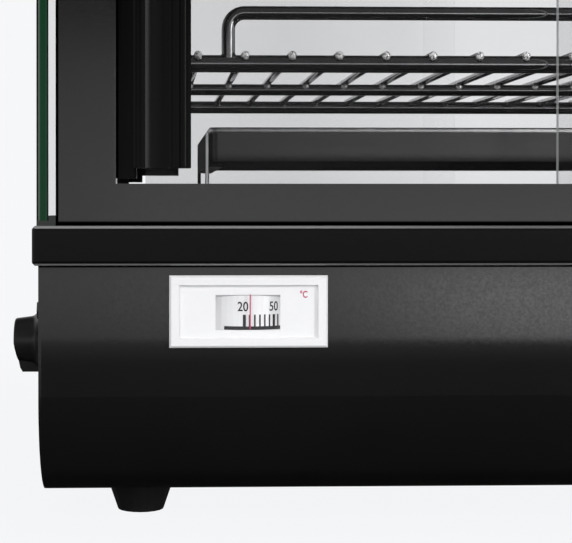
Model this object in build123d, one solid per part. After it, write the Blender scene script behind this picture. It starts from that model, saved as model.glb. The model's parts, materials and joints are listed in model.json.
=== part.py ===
from build123d import *
import os
from math import cos, radians

os.makedirs("parts", exist_ok=True)

# Counter-top pie warmer with sliding glass doors at the front and the rear.
# Millimetres. Z is up and the table is z = 0. X runs along the doors, and
# the operator stands on the -Y side. The cabinet is drawn about its own
# centre plane and moved sideways at the end, by half of what the knob adds.

# Cabinet
ledge_width = 466.0
ledge_depth = 342.0
ledge_height = 16.5
ledge_edge_radius = 2.2
ledge_overhang_front = 6.0
ledge_overhang_side = 2.2
glass_zone_height = 385.5
base_height = 100.7
canopy_height = 67.5
base_bend_radius = 46.0
canopy_bend_radius = 40.0
sheet = 1.2
ledge_sheet = 1.5
ledge_return = 20.0

# Feet
foot_height = 13.3
foot_bottom_radius = 10.5
foot_top_radius = 15.1
foot_inset = 42.0
foot_bend_gap = 17.0
foot_screw_radius = 2.5
foot_recess_radius = 5.2
foot_recess_depth = 5.0
foot_sides = 20
foot_screw_grip = 3.0
foot_screw_head = 2.5

# Front and rear frames
frame_glass_gap = 2.9
frame_stile = 25.0
frame_depth = 21.5
front_rail_height = 17.5
rear_rail_height = 21.0
frame_edge = 0.8

# End glasses
side_glass = 5.0
side_glass_inset = 1.5
side_glass_lift = 2.1
spacer_length = 20.0
spacer_step = 2.1

# Doors and tracks
pane = 4.0
pane_side_clearance = 0.6
pane_floor_clearance = 0.3
door_overlap = 9.0
stile_width = 24.2
stile_depth = 8.2
stile_set_out = 0.2
stile_edge_gap = 7.2
stile_grip = 19.1
stile_track_gap = 9.6
stile_groove = 1.3
stile_rib = 0.9
stile_rib_step = 1.7
stile_rib_depth = 0.6
stile_groove_start = 5.0
stile_groove_end = 15.1
stile_lip = 0.9
stile_lip_gap = 0.5
stile_recess = 1.0
stile_bead_start = 19.3
stile_bead = 3.4
stile_end_gap = 2.0
track_wall = 2.9
track_middle = 3.8
track_floor = 3.0
track_height = 14.5
top_track_height = 26.0
pane_top_engagement = 12.0
buffer_width = 8.5
buffer_gap = 5.5
buffer_thickness = 8.6
buffer_edge = 0.8
pane_edge = 0.3

# Shelves
wire_pitch = 20.45
wire_radius = 1.85
shelf_rail_radius = 3.8
shelf_mid_radius = 3.0
guard_radius = 3.0
guard_bend = 7.0
guard_rise = 22.2
guard_inset = 64.3
wire_overrun = 5.6
wire_sides = 8
guard_sides = 6
shelf_count = 3
first_shelf = 70.2
shelf_spacing = 108.0
shelf_end_gap = 1.2
shelf_track_gap = 6.5
shelf_seat_gap = 0.3

# Side racks that carry the shelves
rack_post = 8.0
rack_post_inset = 23.5
rack_gap = 1.2
rung_width = 9.0
rung_height = 10.0
rung_sheet = 1.5
rung_overrun = 2.5

# Water pan and its stand
pan_length = 314.2
pan_front = 96.0
pan_depth = 126.0
pan_height = 17.0
pan_lift = 26.8
pan_wall = 1.0
pan_rim = 2.0
pan_corner_radius = 4.0
pan_bottom_edge = 1.2
pan_gap = 0.3
stand_sheet = 1.6
stand_leg = 8.0
stand_strip = 14.5
stand_seat = 6.0

# Floor plate and heating element
floor_sheet = 1.0
floor_edge_x = 63.0
floor_edge_y = 51.0
floor_lap = 10.0
slot_length = 44.0
slot_width = 6.0
slot_pitch_x = 62.0
slot_pitch_y = 46.0
element_radius = 4.0
element_sides = 6
element_pitch = 100.0
element_passes = 2
element_inset = 40.0
element_drop = 24.0
bracket_width = 20.0
bracket_inset = 35.0
bracket_gap = 2.0
bracket_hook = 12.0
terminal_radius = 6.0
terminal_length = 14.0
terminal_stud = 8.0
terminal_stud_radius = 2.0

# Gauge
gauge_inset = 87.4
gauge_drop = 19.2
gauge_width = 66.0
gauge_height = 30.0
gauge_proud = 2.5
gauge_border = 4.0
gauge_panel_lap = 2.0
gauge_step = 1.0
gauge_fit = 0.2
gauge_window_width = 25.7
gauge_window_height = 15.0
gauge_lens = 1.0
gauge_face = 1.0
gauge_case_depth = 46.0
gauge_case_wall = 1.2
gauge_case_inset = 2.5
gauge_edge = 0.8
drum_radius = 20.0
drum_height = 18.0
drum_gap = 0.8
drum_pin_radius = 1.5
drum_pin_clearance = 0.05
pointer_width = 0.7
pointer_offset = 0.7
drum_sides = 48

# Thermostat and knob
knob_inset = 67.0
knob_drop = 36.7
knob_reach = 16.6
knob_skirt_radius = 15.1
knob_hub_radius = 8.6
knob_flare = 5.0
knob_skirt = 0.9
knob_cone = 2.1
knob_taper = 0.6
knob_edge = 0.7
knob_end_wall = 4.0
knob_sides = 24
knob_pointer_width = 7.0
knob_pointer_taper = 0.6
knob_gap = 0.5
shaft_radius = 3.0
shaft_clearance = 0.05
thermostat_neck = 5.0
thermostat_width = 42.0
thermostat_height = 34.0
thermostat_depth = 26.0
thermostat_corner = 3.0
thermostat_wall = 6.0
shaft_end_gap = 1.0
bulb_radius = 3.2
bulb_edge_gap = 4.0
bulb_clip_sheet = 1.5
bulb_clip_width = 8.0
bulb_sides = 12
bulb_length = 80.0

# Rocker switch
switch_spacing = 60.0
switch_width = 22.0
switch_height = 30.0
switch_proud = 2.0
switch_border = 2.6
switch_case_depth = 20.0
switch_edge = 0.7
switch_lap = 1.5
switch_floor = 6.0
rocker_gap = 0.4
rocker_throw = 8.0
rocker_rise = 3.4
rocker_end_room = 2.0
rocker_dip = 2.2
rocker_heel = 3.0
rocker_root = 0.75
rocker_pin_depth = 5.0
switch_pin_radius = 1.2

# Mains entry at the rear
gland_inset = 80.8
gland_drop = 40.0
gland_radius = 9.0
gland_bore = 4.2
gland_reach = 5.0
gland_neck = 2.0
gland_depth = 14.0
gland_sides = 12
gland_nut_width = 24.0
gland_nut_height = 6.0
terminal_block_offset = 72.0
terminal_block_length = 52.0
terminal_block_depth = 20.0
terminal_block_height = 18.0
terminal_block_y = 20.0
terminal_gap = 1.5
terminal_screw_radius = 3.0
terminal_screw_depth = 6.0

# Lamp in the canopy
lamp_radius = 13.0
lamp_length = 70.0
lamp_cap_radius = 9.0
holder_radius = 14.0
holder_length = 34.0
lamp_drop = 24.0
lamp_neck = 4.0
holder_socket = 15.0
holder_clearance = 1.0
holder_sides = 12
holder_foot = 0.7
holder_foot_inset = 6.0

# Screws
screw_head_radius = 4.0
screw_head_height = 2.0
screw_shank_radius = 1.9
screw_inset = 20.0
screw_reach = 4.8
screw_sides = 6
cheek_flange = 12.0
vent_slots = 9
vent_length = 70.0
vent_width = 5.0
vent_pitch = 14.0
bottom_margin_x = 70.0
bottom_margin_y = 85.0
bottom_lap = 8.0

# Levels
base_top = foot_height + base_height
deck_top = base_top + ledge_height
canopy_bottom = deck_top + glass_zone_height
canopy_ledge_top = canopy_bottom + ledge_height
body_top = canopy_ledge_top + canopy_height
floor_top = deck_top + floor_sheet

# Planes
housing_half_x = ledge_width / 2 - ledge_overhang_side
housing_half_y = ledge_depth / 2 - ledge_overhang_front
frame_face = housing_half_y
glass_outer = ledge_width / 2 - side_glass_inset
glass_inner = glass_outer - side_glass
stile_outer = glass_inner - frame_glass_gap
stile_inner = stile_outer - frame_stile
knob_face = housing_half_x + knob_reach
centre_shift = (knob_face - ledge_width / 2) / 2
rack_outer_x = glass_inner - rack_gap
rack_inner_x = rack_outer_x - rack_post
rung_web_x = rack_inner_x - rung_sheet
foot_x = housing_half_x - foot_inset
foot_y = housing_half_y - base_bend_radius - foot_bend_gap
floor_opening_x = ledge_width - 2 * floor_edge_x
floor_opening_y = ledge_depth - 2 * floor_edge_y
element_half_length = floor_opening_x / 2 - element_inset
bracket_x = element_half_length - bracket_inset
gauge_x = gauge_inset - housing_half_x
knob_y = knob_inset - housing_half_y
switch_y = knob_y + switch_spacing
gland_x = housing_half_x - gland_inset
shelf_half = rung_web_x - shelf_end_gap
guard_leg_x = shelf_half - guard_inset

# Door planes, counted from the outside: the left front door runs outermost
slot_width_y = pane + 2 * pane_side_clearance
outer_slot = frame_face - ledge_sheet - track_wall - slot_width_y / 2
inner_slot = outer_slot - slot_width_y - track_middle
track_outer = frame_face - ledge_sheet
track_inner = inner_slot - slot_width_y / 2 - track_wall
stile_left = stile_inner - stile_edge_gap
shelf_rail_y = track_inner - shelf_track_gap
rung_half_length = shelf_rail_y + rung_overrun
rack_post_y = rung_half_length - rack_post_inset


def block(x0, x1, y0, y1, z0, z1):
    """A box between two opposite corners, given in any order."""
    size = Box(abs(x1 - x0), abs(y1 - y0), abs(z1 - z0))
    return Pos((x0 + x1) / 2, (y0 + y1) / 2, (z0 + z1) / 2) * size


def rod(start, end, radius):
    """A round bar from one point to another."""
    span = Vector(*end) - Vector(*start)
    middle = Vector(*start) + span / 2
    place = Plane(origin=middle, z_dir=span)
    return place * Cylinder(radius, span.length)


def facet_section(radius, sides):
    """Outline of a bar with a few flat sides, one of them uppermost."""
    return Rot(0, 0, 180 / sides) * RegularPolygon(radius, sides)


def flat_reach(radius, sides):
    """Distance from such a bar's axis to its flats."""
    return radius * cos(radians(180 / sides))


def facet_rod(start, end, radius, sides):
    """A bar with a few flat sides from one point to another."""
    span = Vector(*end) - Vector(*start)
    place = Plane(origin=Vector(*start), z_dir=span)
    return extrude(place * facet_section(radius, sides), span.length)


def save(name, *shapes):
    """Move the solids into the part's frame and write one node."""
    solids = []
    for shape in shapes:
        solids.extend(Pos(centre_shift, 0, 0) * solid for solid in shape.solids())
    export_step(Compound(children=solids), f"parts/{name}.step")


def housing_section(low, high, radius, inset, bends_low):
    """Side outline of the base or canopy, rounded on the closed side."""
    half = housing_half_y - inset
    middle = (low + high) / 2
    outline = Plane.YZ * Pos(0, middle) * Rectangle(2 * half, high - low)
    edges = outline.vertices().group_by(Axis.Z)
    corners = edges[0] if bends_low else edges[-1]
    return fillet(corners, radius - inset)


def housing_wrap(low, high, radius, bends_low):
    """Folded sheet from the front over the closed side to the rear."""
    length = 2 * (housing_half_x - sheet)
    outer = housing_section(low, high, radius, 0, bends_low)
    inner_low = low + sheet if bends_low else low - 1
    inner_high = high + 1 if bends_low else high - sheet
    inner = housing_section(inner_low, inner_high, radius, sheet, bends_low)
    start = Pos(-length / 2, 0, 0)
    return start * (extrude(outer, length) - extrude(inner, length))


def housing_cheek(low, high, radius, bends_low, side):
    """End plate of the base or canopy, with tabs folded in where it is straight."""
    outer = housing_section(low, high, radius, 0, bends_low)
    plate = Pos(side * housing_half_x, 0, 0) * extrude(outer, -side * sheet)
    root = side * (housing_half_x - sheet)
    tip = root - side * cheek_flange
    y = housing_half_y - sheet
    straight_low = low + radius if bends_low else low
    straight_high = high if bends_low else high - radius
    for way in (-1, 1):
        plate += block(root, tip, way * y, way * (y - sheet), straight_low, straight_high)
    closed = low + sheet if bends_low else high - sheet
    folded = closed + sheet if bends_low else closed - sheet
    flat_y = housing_half_y - radius
    return plate + block(root, tip, -flat_y, flat_y, closed, folded)


def foot():
    """Tapered rubber foot with a screw recess underneath."""
    ends = [RegularPolygon(foot_bottom_radius, foot_sides),
            Pos(0, 0, foot_height) * RegularPolygon(foot_top_radius, foot_sides)]
    body = loft(ends)
    body -= facet_rod((0, 0, 0), (0, 0, foot_recess_depth), foot_recess_radius, screw_sides)
    return body - facet_rod((0, 0, 0), (0, 0, foot_height), foot_screw_radius, screw_sides)


def foot_screw():
    """Pan-head screw up through the foot into the base."""
    under = foot_recess_depth - foot_screw_head
    top = foot_height + 2 * sheet + foot_screw_grip
    head = facet_rod((0, 0, under), (0, 0, foot_recess_depth), foot_recess_radius - 1, screw_sides)
    return head + facet_rod((0, 0, under), (0, 0, top), foot_screw_radius, screw_sides)


def at_feet(shape):
    """Copies of a shape at the four feet."""
    spots = [(x, y) for x in (-foot_x, foot_x) for y in (-foot_y, foot_y)]
    return [Pos(x, y, 0) * shape for x, y in spots]


def base_shell():
    """Base sheet with its cut-outs for the floor plate, gauge and cord."""
    shell = housing_wrap(foot_height, base_top, base_bend_radius, True)
    half_x = housing_half_x - bottom_margin_x
    half_y = housing_half_y - bottom_margin_y
    shell -= block(-half_x, half_x, -half_y, half_y, foot_height - 1, foot_height + 2 * sheet)
    gauge_z = base_top - gauge_drop
    cut_x = gauge_width / 2 - gauge_panel_lap
    cut_z = gauge_height / 2 - gauge_panel_lap
    shell -= block(gauge_x - cut_x, gauge_x + cut_x, -housing_half_y - 1, -housing_half_y + 2 * sheet,
                   gauge_z - cut_z, gauge_z + cut_z)
    gland_z = base_top - gland_drop
    inner_y = housing_half_y - 2 * sheet
    shell -= facet_rod((gland_x, inner_y, gland_z), (gland_x, housing_half_y + 1, gland_z),
                       gland_radius - gland_neck, gland_sides)
    above = foot_height + 2 * sheet
    hole = facet_rod((0, 0, foot_height - 1), (0, 0, above), foot_screw_radius, screw_sides)
    for spot in at_feet(hole):
        shell -= spot
    return shell


def bottom_plate():
    """Removable plate with cooling slots, lapped over the opening inside."""
    half_x = housing_half_x - bottom_margin_x + bottom_lap
    half_y = housing_half_y - bottom_margin_y + bottom_lap
    low = foot_height + sheet
    plate = block(-half_x, half_x, -half_y, half_y, low, low + sheet)
    first = -(vent_slots - 1) / 2 * vent_pitch
    for step in range(vent_slots):
        x = first + step * vent_pitch
        plate -= block(x - vent_width / 2, x + vent_width / 2, -vent_length / 2, vent_length / 2,
                       low - 1, low + 2 * sheet)
    return plate


def ledge(low, open_bottom_x, open_bottom_y):
    """Folded ledge: a shallow box with rounded edges and an open middle."""
    half_x = ledge_width / 2
    half_y = ledge_depth / 2
    high = low + ledge_height
    shell = block(-half_x, half_x, -half_y, half_y, low, high)
    shell = fillet(shell.edges().filter_by(Axis.X), ledge_edge_radius)
    shell = chamfer(shell.faces().filter_by(Plane.YZ).edges(), ledge_edge_radius / 2)
    inner_x = half_x - ledge_sheet
    inner_y = half_y - ledge_sheet
    shell -= block(-inner_x, inner_x, -inner_y, inner_y, low + ledge_sheet, high - ledge_sheet)
    open_x = floor_opening_x / 2
    open_y = floor_opening_y / 2
    shell -= block(-open_x, open_x, -open_y, open_y, low - 1, high + 1)
    shell -= block(-open_bottom_x, open_bottom_x, -open_bottom_y, open_bottom_y,
                   low - 1, low + 2 * ledge_sheet)
    return shell


def deck():
    """Lower ledge, open underneath except for the flange on the base."""
    edge_x = ledge_width / 2 - ledge_return
    edge_y = ledge_depth / 2 - ledge_return
    return ledge(base_top, edge_x, edge_y)


def canopy_ledge():
    """Upper ledge, the same pressing turned over."""
    edge_x = ledge_width / 2 - ledge_return
    edge_y = ledge_depth / 2 - ledge_return
    turned = Pos(0, 0, canopy_bottom + ledge_height) * (Rot(180, 0, 0) * ledge(0, edge_x, edge_y))
    return turned


def floor_plate():
    """Lift-out floor with rows of slots over the heating element."""
    half_x = floor_opening_x / 2 + floor_lap
    half_y = floor_opening_y / 2 + floor_lap
    plate = block(-half_x, half_x, -half_y, half_y, deck_top, floor_top)
    columns = int((floor_opening_x - slot_length) / slot_pitch_x) + 1
    rows = int((floor_opening_y - slot_width) / slot_pitch_y)
    for column in range(columns):
        x = (column - (columns - 1) / 2) * slot_pitch_x
        for row in range(rows):
            y = (row - (rows - 1) / 2) * slot_pitch_y
            plate -= block(x - slot_length / 2, x + slot_length / 2, y - slot_width / 2, y + slot_width / 2,
                           deck_top - 1, floor_top + 1)
    return plate


def element_path():
    """Serpentine centre line of the tubular element."""
    z = deck_top - element_drop
    first_y = -(element_passes - 1) / 2 * element_pitch
    pieces = []
    for step in range(element_passes):
        y = first_y + step * element_pitch
        side = 1 if step % 2 == 0 else -1
        start = (-side * element_half_length, y, z)
        end = (side * element_half_length, y, z)
        pieces.append(Line(start, end))
        if step < element_passes - 1:
            turn = (side * (element_half_length + element_pitch / 2), y + element_pitch / 2, z)
            pieces.append(ThreePointArc(end, turn, (end[0], y + element_pitch, z)))
    return Wire(pieces)


def heating_element():
    """Bent tubular element, both ends on the left."""
    path = element_path()
    start = Plane(origin=path @ 0, z_dir=path % 0)
    return sweep(start * facet_section(element_radius, element_sides), path=path)


def element_terminals():
    """Ceramic collars with a stud on each end of the element."""
    z = deck_top - element_drop
    reach = (element_passes - 1) / 2 * element_pitch
    ends = []
    for y in (-reach, reach):
        x = -element_half_length
        tip = x - terminal_length
        collar = facet_rod((x, y, z), (tip, y, z), terminal_radius, element_sides)
        stud = facet_rod((tip, y, z), (tip - terminal_stud, y, z), terminal_stud_radius, element_sides)
        ends.append(collar + stud)
    return ends


def element_brackets():
    """Two hanging straps under the element, hooked below the ledge."""
    low = deck_top - element_drop - element_radius - sheet
    outer = housing_half_y - 2 * sheet - bracket_gap
    inner = outer - bracket_hook
    straps = []
    for x in (-bracket_x, bracket_x):
        x0 = x - bracket_width / 2
        x1 = x + bracket_width / 2
        strap = block(x0, x1, -inner, inner, low, low + sheet)
        for side in (-1, 1):
            strap += block(x0, x1, side * (inner - sheet), side * inner, low, base_top)
            strap += block(x0, x1, side * (inner - sheet), side * outer, base_top - sheet, base_top)
        straps.append(strap)
    return straps


def window_frame(rail_height, side):
    """Folded frame between the ledges: two channel stiles and two rails."""
    face = side * frame_face
    skin = side * (frame_face - ledge_sheet)
    back = side * (frame_face - frame_depth)
    low = deck_top
    high = canopy_bottom
    ring = block(-stile_outer, stile_outer, face, skin, low, high)
    ring -= block(-stile_inner, stile_inner, face + side, skin - side,
                  low + rail_height, high - front_rail_height)
    for way in (-1, 1):
        ring += block(way * stile_outer, way * (stile_outer - ledge_sheet), face, back, low, high)
        ring += block(way * stile_inner, way * (stile_inner + ledge_sheet), face, back, low, high)
    front_face = ring.faces().sort_by(Axis.Y)[0 if side < 0 else -1]
    upright = front_face.edges().filter_by(Axis.Z)
    return chamfer(upright, frame_edge)


def end_glass(side):
    """End pane standing on its blocks."""
    low = deck_top + side_glass_lift
    high = canopy_bottom - side_glass_lift
    return block(side * glass_inner, side * glass_outer, -frame_face, frame_face, low, high)


def glass_block(side, way, upper):
    """Corner block under or over an end glass, with a step beside it."""
    level = canopy_bottom if upper else deck_top
    rise = -1 if upper else 1
    y0 = way * frame_face
    y1 = way * (frame_face - spacer_length)
    seat = block(side * glass_outer, side * stile_outer, y0, y1, level, level + rise * side_glass_lift)
    top = level + rise * (side_glass_lift + spacer_step)
    return seat + block(side * glass_inner, side * stile_outer, y0, y1, level, top)


def glass_spacers():
    """The eight corner blocks of the end glasses."""
    spots = [(s, w, u) for s in (-1, 1) for w in (-1, 1) for u in (False, True)]
    return [glass_block(*spot) for spot in spots]


def track(side, low, height, floor, upper):
    """Two-groove running track; the upper one opens downwards."""
    half = stile_inner
    high = low + height
    rail = block(-half, half, side * track_outer, side * track_inner, low, high)
    groove_low = low - 1 if upper else low + floor
    groove_high = high - floor if upper else high + 1
    for slot in (outer_slot, inner_slot):
        y0 = side * (slot - slot_width_y / 2)
        y1 = side * (slot + slot_width_y / 2)
        rail -= block(-half - 1, half + 1, y0, y1, groove_low, groove_high)
    return rail


def track_lift(rail_height):
    """How far the door groove is raised, so that it follows its rail."""
    return rail_height - front_rail_height


def buffer_strip(side, way, rail_height):
    """Jamb strip in the groove plane that the other door closes into."""
    plane = inner_slot if side * way > 0 else outer_slot
    low = deck_top + track_lift(rail_height) + track_height + buffer_gap
    high = canopy_bottom - top_track_height
    y0 = side * (plane - buffer_thickness / 2)
    y1 = side * (plane + buffer_thickness / 2)
    strip = block(way * stile_inner, way * (stile_inner - buffer_width), y0, y1, low, high)
    return chamfer(strip.edges().filter_by(Axis.Z), buffer_edge)


def door_buffers():
    """The four jamb strips, each across from the door beside it."""
    strips = []
    for side, rail_height in ((-1, front_rail_height), (1, rear_rail_height)):
        for way in (-1, 1):
            strips.append(buffer_strip(side, way, rail_height))
    return strips


def door_plane(side, way):
    """Groove of a door: seen from outside, the left door runs outermost."""
    return outer_slot if side * way > 0 else inner_slot


def door_pane(side, way, rail_height):
    """Sliding glass, from the stile's groove past the middle."""
    plane = door_plane(side, way)
    low = deck_top + track_lift(rail_height) + track_floor + pane_floor_clearance
    high = canopy_bottom - top_track_height + pane_top_engagement
    edge = stile_left - (stile_width - stile_grip)
    y0 = side * (plane - pane / 2)
    y1 = side * (plane + pane / 2)
    glass = block(way * edge, -way * door_overlap, y0, y1, low, high)
    return chamfer(glass.edges().filter_by(Axis.Z), pane_edge)


def stile_section():
    """Grip outline from its outer edge inward, with v = 0 on its face."""
    back = -stile_depth
    glass_face = pane / 2 - stile_depth / 2 - stile_set_out
    glass_back = glass_face - pane
    glass_edge = stile_width - stile_grip
    points = [(0, back), (0, 0)]
    for start in (0, stile_rib_step):
        points += [(start + stile_rib, 0), (start + stile_rib, -stile_rib_depth)]
        points += [(start + stile_rib_step, -stile_rib_depth), (start + stile_rib_step, 0)]
    ribs = Polyline(*points, (stile_groove_start, 0))
    middle = (stile_groove_start + stile_groove_end) / 2
    groove = ThreePointArc((stile_groove_start, 0), (middle, -stile_groove), (stile_groove_end, 0))
    first_lip = stile_groove_end + stile_lip
    second_lip = first_lip + stile_lip_gap + stile_lip
    lips = Polyline((stile_groove_end, 0), (first_lip, 0), (first_lip, -stile_recess),
                    (second_lip - stile_lip, -stile_recess), (second_lip - stile_lip, 0), (second_lip, 0),
                    (second_lip, -stile_recess), (stile_bead_start, -stile_recess))
    bead_end = stile_bead_start + stile_bead
    bead = ThreePointArc((stile_bead_start, -stile_recess), (stile_bead_start + stile_bead / 2, 0),
                         (bead_end, -stile_recess))
    rest = Polyline((bead_end, -stile_recess), (stile_width, -stile_recess), (stile_width, glass_face),
                    (glass_edge, glass_face), (glass_edge, glass_back), (stile_width, glass_back),
                    (stile_width, back), (0, back))
    return make_face(Wire([*ribs.edges(), groove, *lips.edges(), bead, *rest.edges()]))


def door_stile(side, way, rail_height):
    """Grip extrusion: ribs, a finger groove, two lips and a rounded bead."""
    front = door_plane(side, way) + stile_depth / 2 + stile_set_out
    low = deck_top + track_lift(rail_height) + track_height + stile_track_gap
    high = canopy_bottom - top_track_height - stile_end_gap
    section = stile_section()
    if way > 0:
        section = mirror(section, Plane.YZ)
    if side < 0:
        section = mirror(section, Plane.XZ)
    placed = Pos(way * stile_left, side * front, low) * section
    return extrude(placed, high - low, dir=(0, 0, 1))


def shelf_level(index):
    """Height of the rail axis of a shelf."""
    return deck_top + first_shelf + index * shelf_spacing


def shelf(index):
    """Welded wire rack: rails along the cabinet, cross wires and a guard."""
    z = shelf_level(index)
    half = shelf_half
    rail_flat = flat_reach(shelf_rail_radius, wire_sides)
    wire_flat = flat_reach(wire_radius, wire_sides)
    wire_z = z + rail_flat + wire_flat
    mid_z = z + rail_flat - flat_reach(shelf_mid_radius, wire_sides)
    rack = []
    for y, level, radius in ((-shelf_rail_y, z, shelf_rail_radius), (0, mid_z, shelf_mid_radius),
                             (shelf_rail_y, z, shelf_rail_radius)):
        rack.append(facet_rod((-half, y, level), (half, y, level), radius, wire_sides))
    count = int((half - shelf_rail_radius) / wire_pitch)
    reach = shelf_rail_y + wire_overrun
    for step in range(-count, count + 1):
        x = step * wire_pitch
        rack.append(facet_rod((x, -reach, wire_z), (x, reach, wire_z), wire_radius, wire_sides))
    foot_z = z + rail_flat
    top = z + guard_rise
    path = FilletPolyline((-guard_leg_x, -shelf_rail_y, foot_z), (-guard_leg_x, -shelf_rail_y, top),
                          (guard_leg_x, -shelf_rail_y, top), (guard_leg_x, -shelf_rail_y, foot_z),
                          radius=guard_bend)
    start = Plane(origin=path @ 0, z_dir=path % 0)
    rack.append(sweep(start * facet_section(guard_radius, guard_sides), path=path))
    return rack


def side_rack(side):
    """Two posts and an angle rung for each shelf."""
    outer = side * rack_outer_x
    inner = side * rack_inner_x
    rack = []
    for y in (-rack_post_y, rack_post_y):
        rack.append(block(outer, inner, y - rack_post / 2, y + rack_post / 2, deck_top, canopy_bottom))
    ladder = rack[0] + rack[1]
    for index in range(shelf_count):
        seat = shelf_level(index) - shelf_rail_radius - shelf_seat_gap
        web_x = side * rung_web_x
        under = seat - rung_sheet
        ladder += block(inner, web_x, -rung_half_length, rung_half_length, under, seat + rung_height)
        toe = web_x - side * rung_width
        ladder += block(inner, toe, -rung_half_length, rung_half_length, under, seat)
    return ladder


def water_pan():
    """Shallow open pan with a rolled rim."""
    low = floor_top + pan_lift
    high = low + pan_height
    half = pan_length / 2 - pan_gap
    back = pan_depth - pan_front
    body = block(-half, half, -pan_front, back, low, high)
    body = fillet(body.edges().filter_by(Axis.Z), pan_corner_radius)
    body = chamfer(body.faces().sort_by(Axis.Z)[0].edges(), pan_bottom_edge)
    inner = block(-half + pan_rim, half - pan_rim, -pan_front + pan_rim, back - pan_rim,
                  low + pan_wall, high + 1)
    inner = chamfer(inner.edges().filter_by(Axis.Z), pan_corner_radius - pan_rim)
    return body - inner


def pan_stand():
    """Two end plates with legs and an inward seat for the pan."""
    low = floor_top
    seat = low + pan_lift - pan_gap
    back = pan_depth - pan_front
    plates = []
    for side in (-1, 1):
        inner = side * pan_length / 2
        outer = side * (pan_length / 2 + stand_sheet)
        plate = block(inner, outer, -pan_front, back, low, seat + stand_strip)
        plate -= block(inner - side, outer + side, -pan_front + stand_leg, back - stand_leg,
                       low - 1, seat - sheet)
        plate += block(inner, side * (pan_length / 2 - stand_seat), -pan_front, back, seat - sheet, seat)
        plates.append(plate)
    return plates


def gauge_parts():
    """Bezel, printed face, clear cover, red index line and case."""
    z = base_top - gauge_drop
    panel = -housing_half_y
    half_x = gauge_width / 2
    half_z = gauge_height / 2
    in_x = half_x - gauge_border
    in_z = half_z - gauge_border
    lens_front = panel - gauge_step - gauge_lens
    face_front = panel - gauge_step
    bezel = block(gauge_x - half_x, gauge_x + half_x, panel - gauge_proud, panel, z - half_z, z + half_z)
    bezel = chamfer(bezel.faces().sort_by(Axis.Y)[0].edges(), gauge_edge)
    bezel -= block(gauge_x - in_x, gauge_x + in_x, panel - gauge_proud - 1, panel + 1, z - in_z, z + in_z)
    fit_x = in_x - gauge_fit
    fit_z = in_z - gauge_fit
    lens = block(gauge_x - fit_x, gauge_x + fit_x, lens_front, face_front, z - fit_z, z + fit_z)
    face = block(gauge_x - fit_x, gauge_x + fit_x, face_front, face_front + gauge_face, z - fit_z, z + fit_z)
    win_x = gauge_window_width / 2
    win_z = gauge_window_height / 2
    face -= block(gauge_x - win_x, gauge_x + win_x, face_front - 1, panel + 2, z - win_z, z + win_z)
    line_x = gauge_x + pointer_offset
    pointer = pointer_width / 2
    line = block(line_x - pointer, line_x + pointer, face_front, face_front + gauge_face / 2,
                 z - win_z, z + win_z)
    case_x = half_x - gauge_case_inset
    case_z = half_z - gauge_case_inset
    front = face_front + gauge_face
    case = block(gauge_x - case_x, gauge_x + case_x, front, panel + gauge_case_depth, z - case_z, z + case_z)
    hollow_x = case_x - gauge_case_wall
    hollow_z = case_z - gauge_case_wall
    case_back = panel + gauge_case_depth - gauge_case_wall
    case -= block(gauge_x - hollow_x, gauge_x + hollow_x, front - 1, case_back, z - hollow_z, z + hollow_z)
    drum_y = front + drum_gap + drum_radius
    bore = (drum_pin_radius + drum_pin_clearance) / flat_reach(1, screw_sides)
    case -= facet_rod((gauge_x, drum_y, z - half_z), (gauge_x, drum_y, z + half_z), bore, screw_sides)
    drum = facet_rod((gauge_x, drum_y, z - drum_height / 2), (gauge_x, drum_y, z + drum_height / 2),
                     drum_radius, drum_sides)
    pins = rod((gauge_x, drum_y, z - case_z), (gauge_x, drum_y, z + case_z), drum_pin_radius)
    return bezel, face, lens, line, case, drum + pins


def knob():
    """Pointer knob: flared skirt, round hub and a nose pointing down."""
    z = base_top - knob_drop
    back = housing_half_x + knob_gap
    skirt = back + knob_skirt
    tip = knob_hub_radius - knob_taper
    outline = [(back, knob_skirt_radius), (skirt, knob_skirt_radius),
               (skirt + knob_skirt, knob_hub_radius + knob_cone), (back + knob_flare, knob_hub_radius),
               (knob_face - knob_edge, tip), (knob_face, tip - knob_edge)]
    rings = []
    for x, radius in outline:
        rings.append(Plane(origin=(x, 0, 0), z_dir=(1, 0, 0)) * RegularPolygon(radius, knob_sides))
    body = loft(rings, ruled=True)
    wide = knob_pointer_width / 2
    narrow = wide * knob_pointer_taper
    nose = Plane.YZ * Polyline((-wide, 0), (wide, 0), (narrow, -knob_skirt_radius),
                               (-narrow, -knob_skirt_radius), close=True)
    body += Pos(back, 0, 0) * extrude(make_face(nose), knob_face - back, dir=(1, 0, 0))
    body -= rod((back - 1, 0, 0), (knob_face - knob_end_wall, 0, 0), shaft_radius)
    placed = Pos(0, knob_y, z) * body
    return placed.mirror(Plane.YZ)


def thermostat():
    """Control body with its threaded neck through the cheek."""
    z = base_top - knob_drop
    wall = -(housing_half_x - sheet)
    body = block(wall, wall + thermostat_depth, knob_y - thermostat_width / 2, knob_y + thermostat_width / 2,
                 z - thermostat_height / 2, z + thermostat_height / 2)
    body = chamfer(body.edges().filter_by(Axis.X), thermostat_corner)
    body += rod((wall, knob_y, z), (-housing_half_x, knob_y, z), thermostat_neck)
    bore = shaft_radius + shaft_clearance
    deep = wall + thermostat_depth - thermostat_wall
    body -= rod((-housing_half_x - 1, knob_y, z), (deep, knob_y, z), bore)
    return body


def knob_shaft():
    """Spindle from the knob into the control body."""
    z = base_top - knob_drop
    inner = -(housing_half_x - sheet) + thermostat_depth - thermostat_wall - shaft_end_gap
    return rod((-knob_face + knob_end_wall, knob_y, z), (inner, knob_y, z), shaft_radius)


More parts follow.
